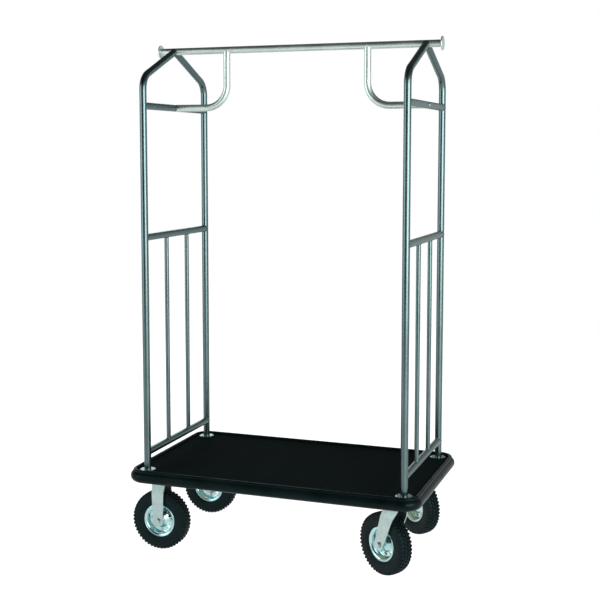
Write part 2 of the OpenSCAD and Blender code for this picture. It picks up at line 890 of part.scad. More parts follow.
deck_board();
deck_carpet();
bumper();
upright(-1, -1);  // left_front_upright
upright(-1, 1);  // left_back_upright
upright(1, -1);  // right_front_upright
upright(1, 1);  // right_back_upright
crossbar(-1, low_bar_z);  // left_low_crossbar
crossbar(-1, mid_bar_z);  // left_mid_crossbar
crossbar(-1, top_bar_z);  // left_top_crossbar
crossbar(1, low_bar_z);  // right_low_crossbar
crossbar(1, mid_bar_z);  // right_mid_crossbar
crossbar(1, top_bar_z);  // right_top_crossbar
rungs();
hang_bar();
bar_caps();
brace(-1);  // left_brace
brace(1);  // right_brace
brace_screws();
upright_flanges();
upright_plugs();
upright_bolts();
caster_bolts();
caster_nuts();
rigid_fork(-1);  // rigid_front_fork
rigid_fork(1);  // rigid_back_fork
swivel_plates();
kingpins();
rigid_axles();
rigid_axle_nuts();
swivel_fork(-1);  // swivel_front_fork
swivel_fork(1);  // swivel_back_fork
swivel_balls(-1);  // swivel_front_balls
swivel_balls(1);  // swivel_back_balls
swivel_axle("swivel_front");  // swivel_front_axle
swivel_axle("swivel_back");  // swivel_back_axle
for (w = WHEELS) {
    at_axle(w) tyre();
    at_axle(w) inner_tube();
    at_axle(w) rim_outer();
    at_axle(w) rim_inner();
    at_axle(w) rim_bolts();
    at_axle(w) bearings();
}
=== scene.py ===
import json
import math

import bmesh
import bpy
from mathutils import Matrix, Vector, noise


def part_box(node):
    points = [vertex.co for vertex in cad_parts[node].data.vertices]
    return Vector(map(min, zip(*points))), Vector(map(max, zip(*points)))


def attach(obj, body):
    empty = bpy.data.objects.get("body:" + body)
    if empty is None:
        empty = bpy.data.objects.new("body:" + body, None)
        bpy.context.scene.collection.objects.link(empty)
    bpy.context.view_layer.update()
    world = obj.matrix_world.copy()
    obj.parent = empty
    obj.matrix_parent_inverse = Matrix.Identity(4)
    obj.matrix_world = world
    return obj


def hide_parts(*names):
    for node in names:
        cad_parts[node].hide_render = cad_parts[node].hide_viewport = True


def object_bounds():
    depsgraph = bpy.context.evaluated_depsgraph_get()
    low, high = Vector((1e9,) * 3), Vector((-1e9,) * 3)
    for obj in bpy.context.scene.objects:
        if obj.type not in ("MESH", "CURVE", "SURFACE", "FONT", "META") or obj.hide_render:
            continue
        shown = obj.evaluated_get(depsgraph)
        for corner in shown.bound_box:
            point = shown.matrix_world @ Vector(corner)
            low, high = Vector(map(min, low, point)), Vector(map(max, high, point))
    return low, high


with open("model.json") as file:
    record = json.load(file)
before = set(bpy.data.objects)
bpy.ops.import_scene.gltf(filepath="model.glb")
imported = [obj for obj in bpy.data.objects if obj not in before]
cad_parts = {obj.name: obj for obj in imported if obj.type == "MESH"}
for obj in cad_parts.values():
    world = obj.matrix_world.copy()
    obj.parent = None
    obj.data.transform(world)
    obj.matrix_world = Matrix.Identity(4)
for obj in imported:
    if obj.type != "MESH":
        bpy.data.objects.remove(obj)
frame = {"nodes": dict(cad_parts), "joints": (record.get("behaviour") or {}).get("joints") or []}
cadLow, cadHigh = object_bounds()
mm = 0.001
wheelNames = ["rigid_front", "rigid_back", "swivel_front", "swivel_back"]
ends = ["left", "right"]
sides = ["front", "back"]
print("frame: loaded", len(frame["nodes"]), "nodes")


# shared helpers

def middle(node):
    low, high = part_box(node)
    return (low + high) / 2


def linkObject(name, data):
    thing = bpy.data.objects.new(name, data)
    bpy.context.scene.collection.objects.link(thing)
    return thing


# Turns a finished mesh into a piece of the cart that moves with a body.
def addPiece(name, mesh, body, material=None, stoodFor=()):
    if material:
        mesh.materials.clear()
        mesh.materials.append(material)
    piece = linkObject(name, mesh)
    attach(piece, body)
    if stoodFor:
        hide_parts(*stoodFor)
    return piece


def smoothFaces(mesh, angle=35):
    mesh.polygons.foreach_set("use_smooth", [True] * len(mesh.polygons))
    mesh.set_sharp_from_angle(angle=math.radians(angle))


# The plain mesh of some bmesh work, faces outwards and smooth up to an angle.
def meshFrom(work, name, angle=35):
    bmesh.ops.recalc_face_normals(work, faces=work.faces)
    mesh = bpy.data.meshes.new(name)
    work.to_mesh(mesh)
    work.free()
    smoothFaces(mesh, angle)
    return mesh


# Spins a closed outline of (radius, height) points round Z. Points on the axis become one pole.
def latheMesh(name, outline, steps):
    work = bmesh.new()
    rings = []
    for radius, height in outline:
        if radius < 1e-7:
            rings.append([work.verts.new((0, 0, height))] * steps)
            continue
        spots = arcPoints((0, 0), radius, 0, 360, steps)[:-1]
        rings.append([work.verts.new((x, y, height)) for x, y in spots])
    for here, there in zip(rings, rings[1:] + rings[:1]):
        for i in range(steps):
            corners = [here[i], here[(i + 1) % steps], there[(i + 1) % steps], there[i]]
            corners = [c for k, c in enumerate(corners) if c not in corners[:k]]
            if len(corners) > 2:
                work.faces.new(corners)
    return meshFrom(work, name)


# Welds the seam of a mesh that was made in strips, and turns its faces outwards.
def closeMesh(mesh, gap=0.01 * mm):
    work = bmesh.new()
    work.from_mesh(mesh)
    bmesh.ops.remove_doubles(work, verts=work.verts, dist=gap)
    bmesh.ops.recalc_face_normals(work, faces=work.faces)
    work.to_mesh(mesh)
    work.free()
    smoothFaces(mesh)


# Points on a circle arc, from one angle to another, both in degrees.
def arcPoints(centre, radius, start, stop, steps):
    turns = [math.radians(start + (stop - start) * i / steps) for i in range(steps + 1)]
    return [(centre[0] + radius * math.cos(t), centre[1] + radius * math.sin(t)) for t in turns]


# The place of a wheel: local Z points to the cart's outside, and local X runs level.
def wheelPlace(wheel):
    joint = next(j for j in frame["joints"] if j["name"] == wheel + "_roll")
    axle = Vector(joint["axis"]).normalized()
    outward = -axle if wheel.endswith("front") else axle
    level = Vector((axle.y, -axle.x, 0))
    turn = Matrix((level, outward.cross(level), outward)).transposed().to_4x4()
    return Matrix.Translation(Vector(joint["pos_m"])) @ turn


def startTree(name, inputs):
    tree = bpy.data.node_groups.new(name, "GeometryNodeTree")
    tree.interface.new_socket("Geometry", in_out="OUTPUT", socket_type="NodeSocketGeometry")
    tree.interface.new_socket("Geometry", in_out="INPUT", socket_type="NodeSocketGeometry")
    for label, kind in inputs:
        tree.interface.new_socket(label, in_out="INPUT", socket_type="NodeSocket" + kind)
    entry = tree.nodes.new("NodeGroupInput")
    entry.location = (-900, 0)
    return tree, entry


def addNode(tree, kind, settings=None, **inputs):
    node = tree.nodes.new(kind)
    for key, value in (settings or {}).items():
        setattr(node, key, value)
    for key, value in inputs.items():
        socket = node.inputs[int(key[1:])] if key[0] == "i" and key[1:].isdigit() else node.inputs[key]
        if isinstance(value, bpy.types.NodeSocket):
            tree.links.new(value, socket)
        else:
            socket.default_value = value
    return node


# Every tree ends the same way: real geometry, made smooth unless its parts already are, then its material.
def endTree(tree, entry, geometry, smooth=True):
    last = addNode(tree, "GeometryNodeRealizeInstances", i0=geometry)
    if smooth:
        last = addNode(tree, "GeometryNodeSetShadeSmooth", i0=last.outputs[0], i2=True)
    paint = addNode(tree, "GeometryNodeSetMaterial", i0=last.outputs[0], i2=entry.outputs["Finish"])
    exitNode = tree.nodes.new("NodeGroupOutput")
    tree.links.new(paint.outputs[0], exitNode.inputs[0])


# Runs a tree on some data and returns the plain mesh that comes out.
def runTree(tree, data, values):
    holder = linkObject("holder", data)
    modifier = holder.modifiers.new("shape", "NODES")
    modifier.node_group = tree
    for item in tree.interface.items_tree:
        if item.item_type == "SOCKET" and item.in_out == "INPUT" and item.name in values:
            modifier[item.identifier] = values[item.name]
    bpy.context.view_layer.update()
    graph = bpy.context.evaluated_depsgraph_get()
    mesh = bpy.data.meshes.new_from_object(holder.evaluated_get(graph), depsgraph=graph)
    holder.modifiers.remove(modifier)
    bpy.data.objects.remove(holder)
    return mesh


def startMaterial(name, colour, roughness, metallic=0.0):
    material = bpy.data.materials.new(name)
    material.use_nodes = True
    shader = material.node_tree.nodes["Principled BSDF"]
    shader.inputs["Base Color"].default_value = (*colour, 1)
    shader.inputs["Roughness"].default_value = roughness
    shader.inputs["Metallic"].default_value = metallic
    return material, material.node_tree, shader


# Noise on the piece's own coordinates. Stretch is how much finer it is along each axis.
def grain(tree, scale, stretch=(1, 1, 1), detail=3.0, turn=(0, 0, 0)):
    place = tree.nodes.new("ShaderNodeTexCoord")
    mapping = addNode(tree, "ShaderNodeMapping", Vector=place.outputs["Object"], Scale=stretch,
                      Rotation=turn)
    texture = addNode(tree, "ShaderNodeTexNoise", Vector=mapping.outputs[0], Scale=scale, Detail=detail)
    return texture.outputs[0]


def mapped(tree, value, fromLow, fromHigh, low, high):
    inputs = {"Value": value, "From Min": fromLow, "From Max": fromHigh, "To Min": low, "To Max": high}
    return addNode(tree, "ShaderNodeMapRange", **inputs).outputs[0]


def blended(tree, amount, first, second):
    mix = tree.nodes.new("ShaderNodeMix")
    mix.data_type = "RGBA"
    for socket, value in ((mix.inputs[0], amount), (mix.inputs[6], first), (mix.inputs[7], second)):
        if isinstance(value, bpy.types.NodeSocket):
            tree.links.new(value, socket)
        else:
            socket.default_value = (*value, 1) if isinstance(value, tuple) else value
    return mix.outputs[2]


def combined(tree, how, first, second):
    return addNode(tree, "ShaderNodeMath", {"operation": how}, i0=first, i1=second).outputs[0]


def raised(tree, shader, height, depth, strength=1.0):
    bump = addNode(tree, "ShaderNodeBump", Height=height, Distance=depth, Strength=strength)
    tree.links.new(bump.outputs[0], shader.inputs["Normal"])


gunmetalLook = {"dark": (0.112, 0.162, 0.165), "light": (0.142, 0.192, 0.196), "roughness": (0.25, 0.31)}
stainlessLook = {"dark": (0.66, 0.73, 0.69), "light": (0.80, 0.87, 0.83), "roughness": (0.36, 0.44)}
zincLook = {"dark": (0.38, 0.50, 0.495), "light": (0.57, 0.69, 0.68), "roughness": (0.24, 0.36)}
flangeLook = {"dark": (0.16, 0.21, 0.215), "light": (0.27, 0.33, 0.335), "roughness": (0.24, 0.34)}
rimLook = {"dark": (0.38, 0.62, 0.64), "light": (0.60, 0.82, 0.84), "roughness": (0.13, 0.22)}
boltLook = {"dark": (0.36, 0.40, 0.40), "light": (0.60, 0.66, 0.66), "roughness": (0.2, 0.34)}
vinylLook = {
    "dark": (0.002, 0.0045, 0.0048), "light": (0.004, 0.0078, 0.0085), "scuff": (0.006, 0.0105, 0.011),
    "roughness": (0.26, 0.34), "wear": 0.35, "shine": 0.09, "tint": (0.62, 0.95, 1),
}
carpetLook = {
    "dark": (0.0010, 0.0042, 0.0042), "light": (0.0050, 0.0132, 0.0130),
    "loop": 3.2 * mm, "wobble": 1.2 * mm, "height": 1.1 * mm, "shine": 0.05,
}
rubberLook = {
    "dark": (0.0014, 0.0036, 0.0042), "light": (0.0034, 0.0068, 0.0076), "dust": (0.009, 0.0135, 0.0145),
    "roughness": (0.46, 0.62), "dustiness": 0.3, "shine": 0.18, "tint": (0.55, 0.92, 1),
}
plyLook = {"dark": (0.30, 0.19, 0.10), "light": (0.56, 0.41, 0.25), "roughness": (0.5, 0.7)}


# Plated or polished tube. Along is the axis that the polishing lines run along.
def tubeMetal(name, look, along, lineSize=0.4 * mm):
    material, tree, shader = startMaterial(name, look["light"], 0.2, 1.0)
    stretch = tuple(0.03 if axis == along else 1 for axis in "xyz")
    lines = grain(tree, 1 / lineSize, stretch, 2)
    clouds = grain(tree, 9, detail=4)
    shade = combined(tree, "MULTIPLY", mapped(tree, lines, 0.35, 0.65, 0.7, 1), clouds)
    tree.links.new(blended(tree, mapped(tree, shade, 0.2, 0.6, 0, 1), look["dark"], look["light"]),
                   shader.inputs["Base Color"])
    low, high = look["roughness"]
    cloudy = mapped(tree, clouds, 0.35, 0.65, low, high)
    lined = mapped(tree, lines, 0.4, 0.7, 0, 0.03)
    tree.links.new(combined(tree, "ADD", cloudy, lined), shader.inputs["Roughness"])
    raised(tree, shader, lines, 0.006 * mm, 0.08)
    return material


# Zinc plate: a faint cloudy bloom, fine scratches, and duller spots where it was handled.
def zincMetal(name, look, grainScale=60):
    material, tree, shader = startMaterial(name, look["light"], 0.35, 1.0)
    bloom = grain(tree, grainScale, detail=5)
    scratches = grain(tree, 900, (1, 0.08, 0.3), 2, (0.3, 0.5, 0.2))
    spots = grain(tree, 22, detail=6)
    bright = mapped(tree, bloom, 0.3, 0.7, 0.55, 1)
    tone = combined(tree, "MULTIPLY", bright, mapped(tree, spots, 0.3, 0.6, 0.7, 1))
    tree.links.new(blended(tree, tone, look["dark"], look["light"]), shader.inputs["Base Color"])
    low, high = look["roughness"]
    handled = mapped(tree, spots, 0.35, 0.65, high, low)
    scratched = mapped(tree, scratches, 0.62, 0.8, 0, 0.1)
    tree.links.new(combined(tree, "ADD", handled, scratched), shader.inputs["Roughness"])
    raised(tree, shader, combined(tree, "ADD", scratches, bloom), 0.02 * mm, 0.15)
    return material


def bumperVinyl():
    material, tree, shader = startMaterial("bumperVinyl", vinylLook["light"], 0.4)
    clouds = grain(tree, 14, detail=5)
    pebble = grain(tree, 900, detail=2)
    rubs = grain(tree, 35, (0.25, 0.25, 2.5), 6)
    base = blended(tree, mapped(tree, clouds, 0.35, 0.65, 0, 1), vinylLook["dark"], vinylLook["light"])
    wear = vinylLook["wear"]
    worn = mapped(tree, rubs, 0.64, 0.78, 0, wear)
    tree.links.new(blended(tree, worn, base, vinylLook["scuff"]), shader.inputs["Base Color"])
    low, high = vinylLook["roughness"]
    cloudy = mapped(tree, clouds, 0.35, 0.65, low, high)
    rubbed = mapped(tree, worn, 0, wear, 0, 0.14)
    tree.links.new(combined(tree, "ADD", cloudy, rubbed), shader.inputs["Roughness"])
    shader.inputs["Specular IOR Level"].default_value = vinylLook["shine"]
    shader.inputs["Specular Tint"].default_value = (*vinylLook["tint"], 1)
    raised(tree, shader, pebble, 0.05 * mm, 0.2)
    return material


# Looped carpet: rows of loops, each painted a little darker at its foot as painted shade between the
# loops.
def carpetPile():
    material, tree, shader = startMaterial("carpetPile", carpetLook["light"], 0.95)
    place = tree.nodes.new("ShaderNodeTexCoord")
    wobble = addNode(tree, "ShaderNodeTexNoise", Vector=place.outputs["Object"], Scale=160.0, Detail=2.0)
    shifted = addNode(tree, "ShaderNodeVectorMath", {"operation": "MULTIPLY_ADD"},
                      i0=wobble.outputs["Color"], i1=(carpetLook["wobble"],) * 3,
                      i2=place.outputs["Object"])
    loops = addNode(tree, "ShaderNodeTexVoronoi", Vector=shifted.outputs[0],
                    Scale=1 / carpetLook["loop"], Randomness=0.55)
    height = mapped(tree, loops.outputs["Distance"], 0, 0.75, 1, 0)
    patches = grain(tree, 7, detail=5)
    fibres = grain(tree, 2600, detail=2)
    worn = mapped(tree, patches, 0.3, 0.7, 0.55, 1)
    # Painted shade: the colour darkens towards each loop's foot, in the hollows between the loops. Random
    # worn patches darken it further.
    tone = combined(tree, "MULTIPLY", mapped(tree, height, 0, 1, 0.25, 1), worn)
    tone = combined(tree, "MULTIPLY", tone, mapped(tree, fibres, 0.3, 0.7, 0.6, 1.1))
    tree.links.new(blended(tree, tone, carpetLook["dark"], carpetLook["light"]),
                   shader.inputs["Base Color"])
    shader.inputs["Specular IOR Level"].default_value = carpetLook["shine"]
    fuzzy = combined(tree, "ADD", height, mapped(tree, fibres, 0, 1, 0, 0.4))
    raised(tree, shader, fuzzy, carpetLook["height"], 0.9)
    return material


def tyreRubber():
    material, tree, shader = startMaterial("tyreRubber", rubberLook["light"], 0.6)
    clouds = grain(tree, 30, detail=5)
    skin = grain(tree, 1400, detail=2)
    dust = grain(tree, 75, detail=6)
    base = blended(tree, mapped(tree, clouds, 0.35, 0.65, 0, 1), rubberLook["dark"], rubberLook["light"])
    dusty = mapped(tree, dust, 0.55, 0.75, 0, rubberLook["dustiness"])
    tree.links.new(blended(tree, dusty, base, rubberLook["dust"]), shader.inputs["Base Color"])
    low, high = rubberLook["roughness"]
    tree.links.new(mapped(tree, clouds, 0.35, 0.65, low, high), shader.inputs["Roughness"])
    shader.inputs["Specular IOR Level"].default_value = rubberLook["shine"]
    shader.inputs["Specular Tint"].default_value = (*rubberLook["tint"], 1)
    raised(tree, shader, skin, 0.08 * mm, 0.3)
    return material


def plywoodBoard():
    material, tree, shader = startMaterial("plywoodBoard", plyLook["light"], 0.6)
    figure = grain(tree, 26, (0.12, 1, 1), 6)
    pores = grain(tree, 700, (0.03, 1, 1), 2)
    bands = mapped(tree, figure, 0.3, 0.7, 0.2, 1)
    tone = combined(tree, "MULTIPLY", bands, mapped(tree, pores, 0.35, 0.6, 0.6, 1))
    tree.links.new(blended(tree, tone, plyLook["dark"], plyLook["light"]), shader.inputs["Base Color"])
    tree.links.new(mapped(tree, figure, 0.3, 0.7, *plyLook["roughness"]), shader.inputs["Roughness"])
    raised(tree, shader, pores, 0.1 * mm, 0.4)
    return material


gunmetal = {axis: tubeMetal("gunmetal" + axis.upper(), gunmetalLook, axis) for axis in "yz"}
stainless = {axis: tubeMetal("stainless" + axis.upper(), stainlessLook, axis) for axis in "xyz"}
zinc = zincMetal("zincPlate", zincLook)
rimZinc = zincMetal("rimZinc", rimLook, 35)
flangeZinc = zincMetal("flangeZinc", flangeLook)
boltSteel = zincMetal("boltSteel", boltLook)
vinyl = bumperVinyl()
pile = carpetPile()
rubber = tyreRubber()
plywood = plywoodBoard()
print("materials:", len(bpy.data.materials))


def paintNode(name, material):
    mesh = frame["nodes"][name].data
    mesh.materials.clear()
    mesh.materials.append(material)


for end in ends:
    for side in sides:
        paintNode(f"{end}_{side}_upright", gunmetal["z"])
    for level in ("low", "mid", "top"):
        paintNode(f"{end}_{level}_crossbar", gunmetal["y"])
    paintNode(f"{end}_brace", stainless["z"])
paintNode("rungs", gunmetal["z"])
paintNode("hang_bar", stainless["x"])
paintNode("bar_caps", stainless["x"])
paintNode("deck_board", plywood)
paintNode("upright_flanges", flangeZinc)
for node in ("upright_bolts", "caster_bolts", "caster_nuts", "swivel_plates", "rigid_axles",
             "rigid_axle_nuts", "swivel_front_axle", "swivel_back_axle"):
    paintNode(node, zinc)
for node in ("brace_screws", "upright_plugs", "kingpins", "swivel_front_balls", "swivel_back_balls"):
    paintNode(node, boltSteel)
for wheel in wheelNames:
    paintNode(wheel + "_fork", zinc)
    for part in ("rim_outer", "rim_inner"):
        paintNode(f"{wheel}_{part}", rimZinc)
    for part in ("rim_bolts", "bearings"):
        paintNode(f"{wheel}_{part}", boltSteel)
    for part in ("tyre", "tube"):
        paintNode(f"{wheel}_{part}", rubber)
paintNode("bumper", vinyl)
print("materials: CAD nodes painted")


# carpet

carpet = {
    "cell": 4 * mm, "ripple": 0.5 * mm, "cornerRadius": 43 * mm, "coarse": 30, "fine": 160,
    "edgeDrop": 1.2 * mm, "edgeWidth": 5 * mm, "flatRoundPost": 30 * mm, "flatFade": 12 * mm,
}
tubeRadius = 12.7 * mm


# A fine grid cut to the board's rounded outline, with a pressed-down edge and a flat back.
def makeCarpet():
    low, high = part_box("deck_carpet")
    halfLength, halfWidth = high.x, high.y
    radius = carpet["cornerRadius"]
    rows = round(2 * halfLength / carpet["cell"])
    columns = round(2 * halfWidth / carpet["cell"])
    postX = middle("right_front_upright").x
    postY = abs(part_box("right_back_upright")[1].y) - tubeRadius
    feet = [Vector((x, y)) for x in (-postX, postX) for y in (-postY, postY)]
    work = bmesh.new()

    def reachAt(x):
        past = max(0, abs(x) - (halfLength - radius))
        return halfWidth - radius + math.sqrt(max(0, radius ** 2 - past ** 2))

    def topAt(x, y, edge):
        spot = Vector((x, y, 0))
        lumps = noise.noise(spot * carpet["coarse"]) * 0.6 + noise.noise(spot * carpet["fine"]) * 0.4
        near = min((Vector((x, y)) - foot).length for foot in feet)
        free = min(1, max(0, (near - carpet["flatRoundPost"]) / carpet["flatFade"]))
        drop = carpet["ripple"] * (0.5 - 0.5 * lumps) * free
        return high.z - drop - carpet["edgeDrop"] * max(0, 1 - edge / carpet["edgeWidth"]) ** 2

    grid = []
    for i in range(rows + 1):
        x = halfLength * (2 * i / rows - 1)
        reach = reachAt(x)
        line = []
        for j in range(columns + 1):
            y = reach * (2 * j / columns - 1)
            edge = min(halfLength - abs(x), reach - abs(y))
            line.append(work.verts.new((x, y, topAt(x, y, edge))))
        grid.append(line)
    for i in range(rows):
        for j in range(columns):
            work.faces.new((grid[i][j], grid[i + 1][j], grid[i + 1][j + 1], grid[i][j + 1]))
    rim = [e for e in work.edges if e.is_boundary]
    skirt = bmesh.ops.extrude_edge_only(work, edges=rim)["geom"]
    for v in skirt:
        if isinstance(v, bmesh.types.BMVert):
            v.co.z = low.z
    backEdges = [e for e in skirt if isinstance(e, bmesh.types.BMEdge) and e.is_boundary]
    bmesh.ops.contextual_create(work, geom=backEdges)
    mesh = meshFrom(work, "carpet", 50)
    piece = addPiece("carpet", mesh, "cart", pile, ["deck_carpet"])
    print("carpet: laid,", len(mesh.polygons), "faces")


makeCarpet()


# bumper

bumper = {
    "bulgeRadius": 21 * mm, "wall": 22 * mm, "cornerRadius": 65 * mm, "beadRadius": 6 * mm,
    "seamX": -262 * mm, "seamGap": 0.25 * mm, "step": 7 * mm, "cornerSteps": 26,
    "waviness": 0.5 * mm, "pucker": 1.6 * mm, "puckerReach": 26 * mm, "seamDepth": 12 * mm,
    "waveScale": 9.0, "waveBias": 0.62, "puckerScale": 75.0, "puckerBias": 0.72,
    "bulgeArc": (-90, -236, 34), "beadArc": (196, 0, 16),
}


# The section: x is how far in from the outermost line, y the height, which the sweep needs turned down.
def bumperSection(bulgeZ, beadZ):
    bulge, bead, wall = bumper["bulgeRadius"], bumper["beadRadius"], bumper["wall"]
    points = [(wall, bulgeZ - bulge)]
    points += arcPoints((bulge, bulgeZ), bulge, *bumper["bulgeArc"])
    points += arcPoints((wall - bead, beadZ), bead, *bumper["beadArc"])
    return [(x, -y) for x, y in points]


# The deck's outermost line, from one side of the seam all the way round to the other.
def bumperPath(halfX, halfY):
    radius = bumper["cornerRadius"]
    seam, gap = bumper["seamX"], bumper["seamGap"] / 2
    corners = [((1, -1), -90), ((1, 1), 0), ((-1, 1), 90), ((-1, -1), 180)]
    points = [(seam + gap, -halfY)]
    for (signX, signY), start in corners:
        centre = (signX * (halfX - radius), signY * (halfY - radius))
        points += arcPoints(centre, radius, start, start + 90, bumper["cornerSteps"])
    points.append((seam - gap, -halfY))
    filled = [points[0]]
    for (x, y), (nextX, nextY) in zip(points, points[1:]):
        parts = max(1, round(math.dist((x, y), (nextX, nextY)) / bumper["step"]))
        for i in range(1, parts + 1):
            filled.append((x + (nextX - x) * i / parts, y + (nextY - y) * i / parts))
    return filled[::-1]


def curveOf(name, lines, closed, twist="Z_UP"):
    data = bpy.data.curves.new(name, "CURVE")
    data.dimensions = "3D"
    data.twist_mode = twist
    for points in lines:
        spline = data.splines.new("POLY")
        spline.points.add(len(points) - 1)
        for spot, point in zip(spline.points, points):
            spot.co = (*point, *([0] * (3 - len(point))), 1)
        spline.use_cyclic_u = closed
    return data


# Sweeps the section along the path, makes it slightly wavy, and puckers it at the butt joint.
def bumperTree():
    tree, entry = startTree("sweptBumper", [
        ("Section", "Object"), ("Waviness", "Float"), ("Pucker", "Float"),
        ("Pucker reach", "Float"), ("Seam", "Vector"), ("Finish", "Material")])
    section = addNode(tree, "GeometryNodeObjectInfo", i0=entry.outputs["Section"])
    swept = addNode(tree, "GeometryNodeCurveToMesh", i0=entry.outputs["Geometry"],
                    i1=section.outputs["Geometry"])
    swept.inputs["Fill Caps"].default_value = True
    place = addNode(tree, "GeometryNodeInputPosition")
    normal = addNode(tree, "GeometryNodeInputNormal")
    slow = addNode(tree, "ShaderNodeTexNoise", Vector=place.outputs[0], Scale=bumper["waveScale"],
                   Detail=2.0)
    quick = addNode(tree, "ShaderNodeTexNoise", Vector=place.outputs[0], Scale=bumper["puckerScale"],
                    Detail=1.0)
    away = addNode(tree, "ShaderNodeVectorMath", {"operation": "DISTANCE"}, i0=place.outputs[0],
                   i1=entry.outputs["Seam"])
    near = addNode(tree, "ShaderNodeMapRange", {"interpolation_type": "SMOOTHSTEP"},
                   Value=away.outputs["Value"])
    tree.links.new(entry.outputs["Pucker reach"], near.inputs["From Max"])
    near.inputs["To Min"].default_value, near.inputs["To Max"].default_value = 1, 0
    waves = combined(tree, "SUBTRACT", slow.outputs[0], bumper["waveBias"])
    waves = combined(tree, "MULTIPLY", waves, entry.outputs["Waviness"])
    folds = combined(tree, "SUBTRACT", quick.outputs[0], bumper["puckerBias"])
    folds = combined(tree, "MULTIPLY", folds, entry.outputs["Pucker"])
    total = combined(tree, "ADD", waves, combined(tree, "MULTIPLY", folds, near.outputs[0]))
    offset = addNode(tree, "ShaderNodeVectorMath", {"operation": "SCALE"}, i0=normal.outputs[0],
                     Scale=total)
    moved = addNode(tree, "GeometryNodeSetPosition", i0=swept.outputs[0], Offset=offset.outputs[0])
    endTree(tree, entry, moved.outputs[0])
    return tree


def makeBumper():
    low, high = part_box("bumper")
    bulgeZ = low.z + bumper["bulgeRadius"]
    beadZ = high.z - bumper["beadRadius"]
    outline = bumperSection(bulgeZ, beadZ)
    section = linkObject("bumperSection", curveOf("bumperSection", [outline], True))
    path = curveOf("bumperPath", [bumperPath(high.x, high.y)], False)
    seam = (bumper["seamX"], low.y + bumper["wall"] / 2, high.z - bumper["seamDepth"])
    mesh = runTree(bumperTree(), path, {
        "Section": section, "Waviness": bumper["waviness"], "Pucker": bumper["pucker"],
        "Pucker reach": bumper["puckerReach"], "Seam": seam, "Finish": vinyl})
    bpy.data.objects.remove(section)
    closeMesh(mesh)
    addPiece("bumperSkin", mesh, "cart", vinyl, ["bumper"])
    print("bumper:", len(mesh.polygons), "faces")


makeBumper()


# tyres

tyre = {
    "knobsPerRow": 48, "knobFoot": 101.8 * mm, "treadRadius": 108.5 * mm, "steps": 144,
    "knobTaper": 0.16, "knobLean": 0.35 * mm, "knobSink": 1.15, "knobEdge": 0.9 * mm,
    "centreKnob": {
        "across": (1.6 * mm, 11.4 * mm), "around": 9.2 * mm, "slant": 2.6 * mm, "drop": (0, 0.1 * mm),
    },
    "shoulderKnob": {
        "across": (13.4 * mm, 25.2 * mm), "around": 8.0 * mm, "slant": 0, "drop": (0.2 * mm, 3.8 * mm),
    },
}

# The flank's radii and half widths in millimetres, with its raised rings as (radius, height).
flank = {
    "foot": 68.4, "widestAt": 81.4, "top": 101.6, "steps": 24, "footWidth": 24.9, "bulge": 1.55,
    "fall": 3.4, "fallPower": 2.2, "limit": 26.55,
    "rings": ((70, 0.45), (75, 0.3), (92, 0.35)), "ringWidth": 0.7,
}
beadPoints = [
    (51.0, 12.3), (52.2, 15.4), (54.6, 17.9), (58.0, 19.3), (61.2, 20.0), (62.0, 20.9), (62.6, 22.9),
    (63.4, 23.5), (66.0, 24.3), (67.4, 25.2), (68.4, 25.0),
]
crownPoints = [(102.2, 22.0), (102.7, 19.5), (103.0, 15.5), (103.2, 9.0), (103.3, 4.0)]
crownRadius = 103.35


# Half the carcass width at a radius between the bead and the crown.
def flankWidth(radius):
    foot, widestAt, top = flank["foot"], flank["widestAt"], flank["top"]
    if radius < widestAt:
        share = (radius - foot) / (widestAt - foot)
        width = flank["footWidth"] + flank["bulge"] * math.sin(math.pi / 2 * share)
    else:
        share = (radius - widestAt) / (top - widestAt)
        width = flank["footWidth"] + flank["bulge"] - flank["fall"] * share ** flank["fallPower"]
    ring = sum(h * math.exp(-((radius - at) / flank["ringWidth"]) ** 2) for at, h in flank["rings"])
    return min(flank["limit"], width + ring)


# One side of the carcass from bead to crown: (radius, distance from the middle), in millimetres.
def sidewall():
    span = flank["top"] - flank["foot"]
    radii = [flank["foot"] + span * i / flank["steps"] for i in range(1, flank["steps"])]
    return beadPoints + [(radius, flankWidth(radius)) for radius in radii] + crownPoints


def tyreOutline():
    near = [(r * mm, w * mm) for r, w in sidewall()]
    far = [(r, -w) for r, w in reversed(near)]
    return near + [(crownRadius * mm, 0)] + far


# A tapered tread knob with its outer edges broken: X is out from the axle, Z along it.
def knobMesh(name, shape):
    half, slant = shape["around"] / 2, shape["slant"]
    work = bmesh.new()
    corners = []
    for atTop in (False, True):
        taper = 1 - tyre["knobTaper"] if atTop else 1
        for across, drop, sign in zip(shape["across"], shape["drop"], (-1, 1)):
            radius = tyre["treadRadius"] - drop if atTop else tyre["knobFoot"] - drop * tyre["knobSink"]
            height = across - sign * tyre["knobLean"] if atTop else across
            for turn in (-1, 1):
                corners.append(work.verts.new((radius, sign * slant + turn * half * taper, height)))
    a, b, c, d, e, f, g, h = corners
    for ring in ((a, b, d, c), (e, g, h, f), (a, e, f, b), (c, d, h, g), (a, c, g, e), (b, f, h, d)):
        work.faces.new(ring)
    bmesh.ops.recalc_face_normals(work, faces=work.faces)
    topVerts = {e, f, g, h}
    edges = [edge for edge in work.edges if topVerts & set(edge.verts)]
    bmesh.ops.bevel(work, geom=edges, offset=tyre["knobEdge"], segments=2, profile=0.6, affect="EDGES")
    return meshFrom(work, name, 40)


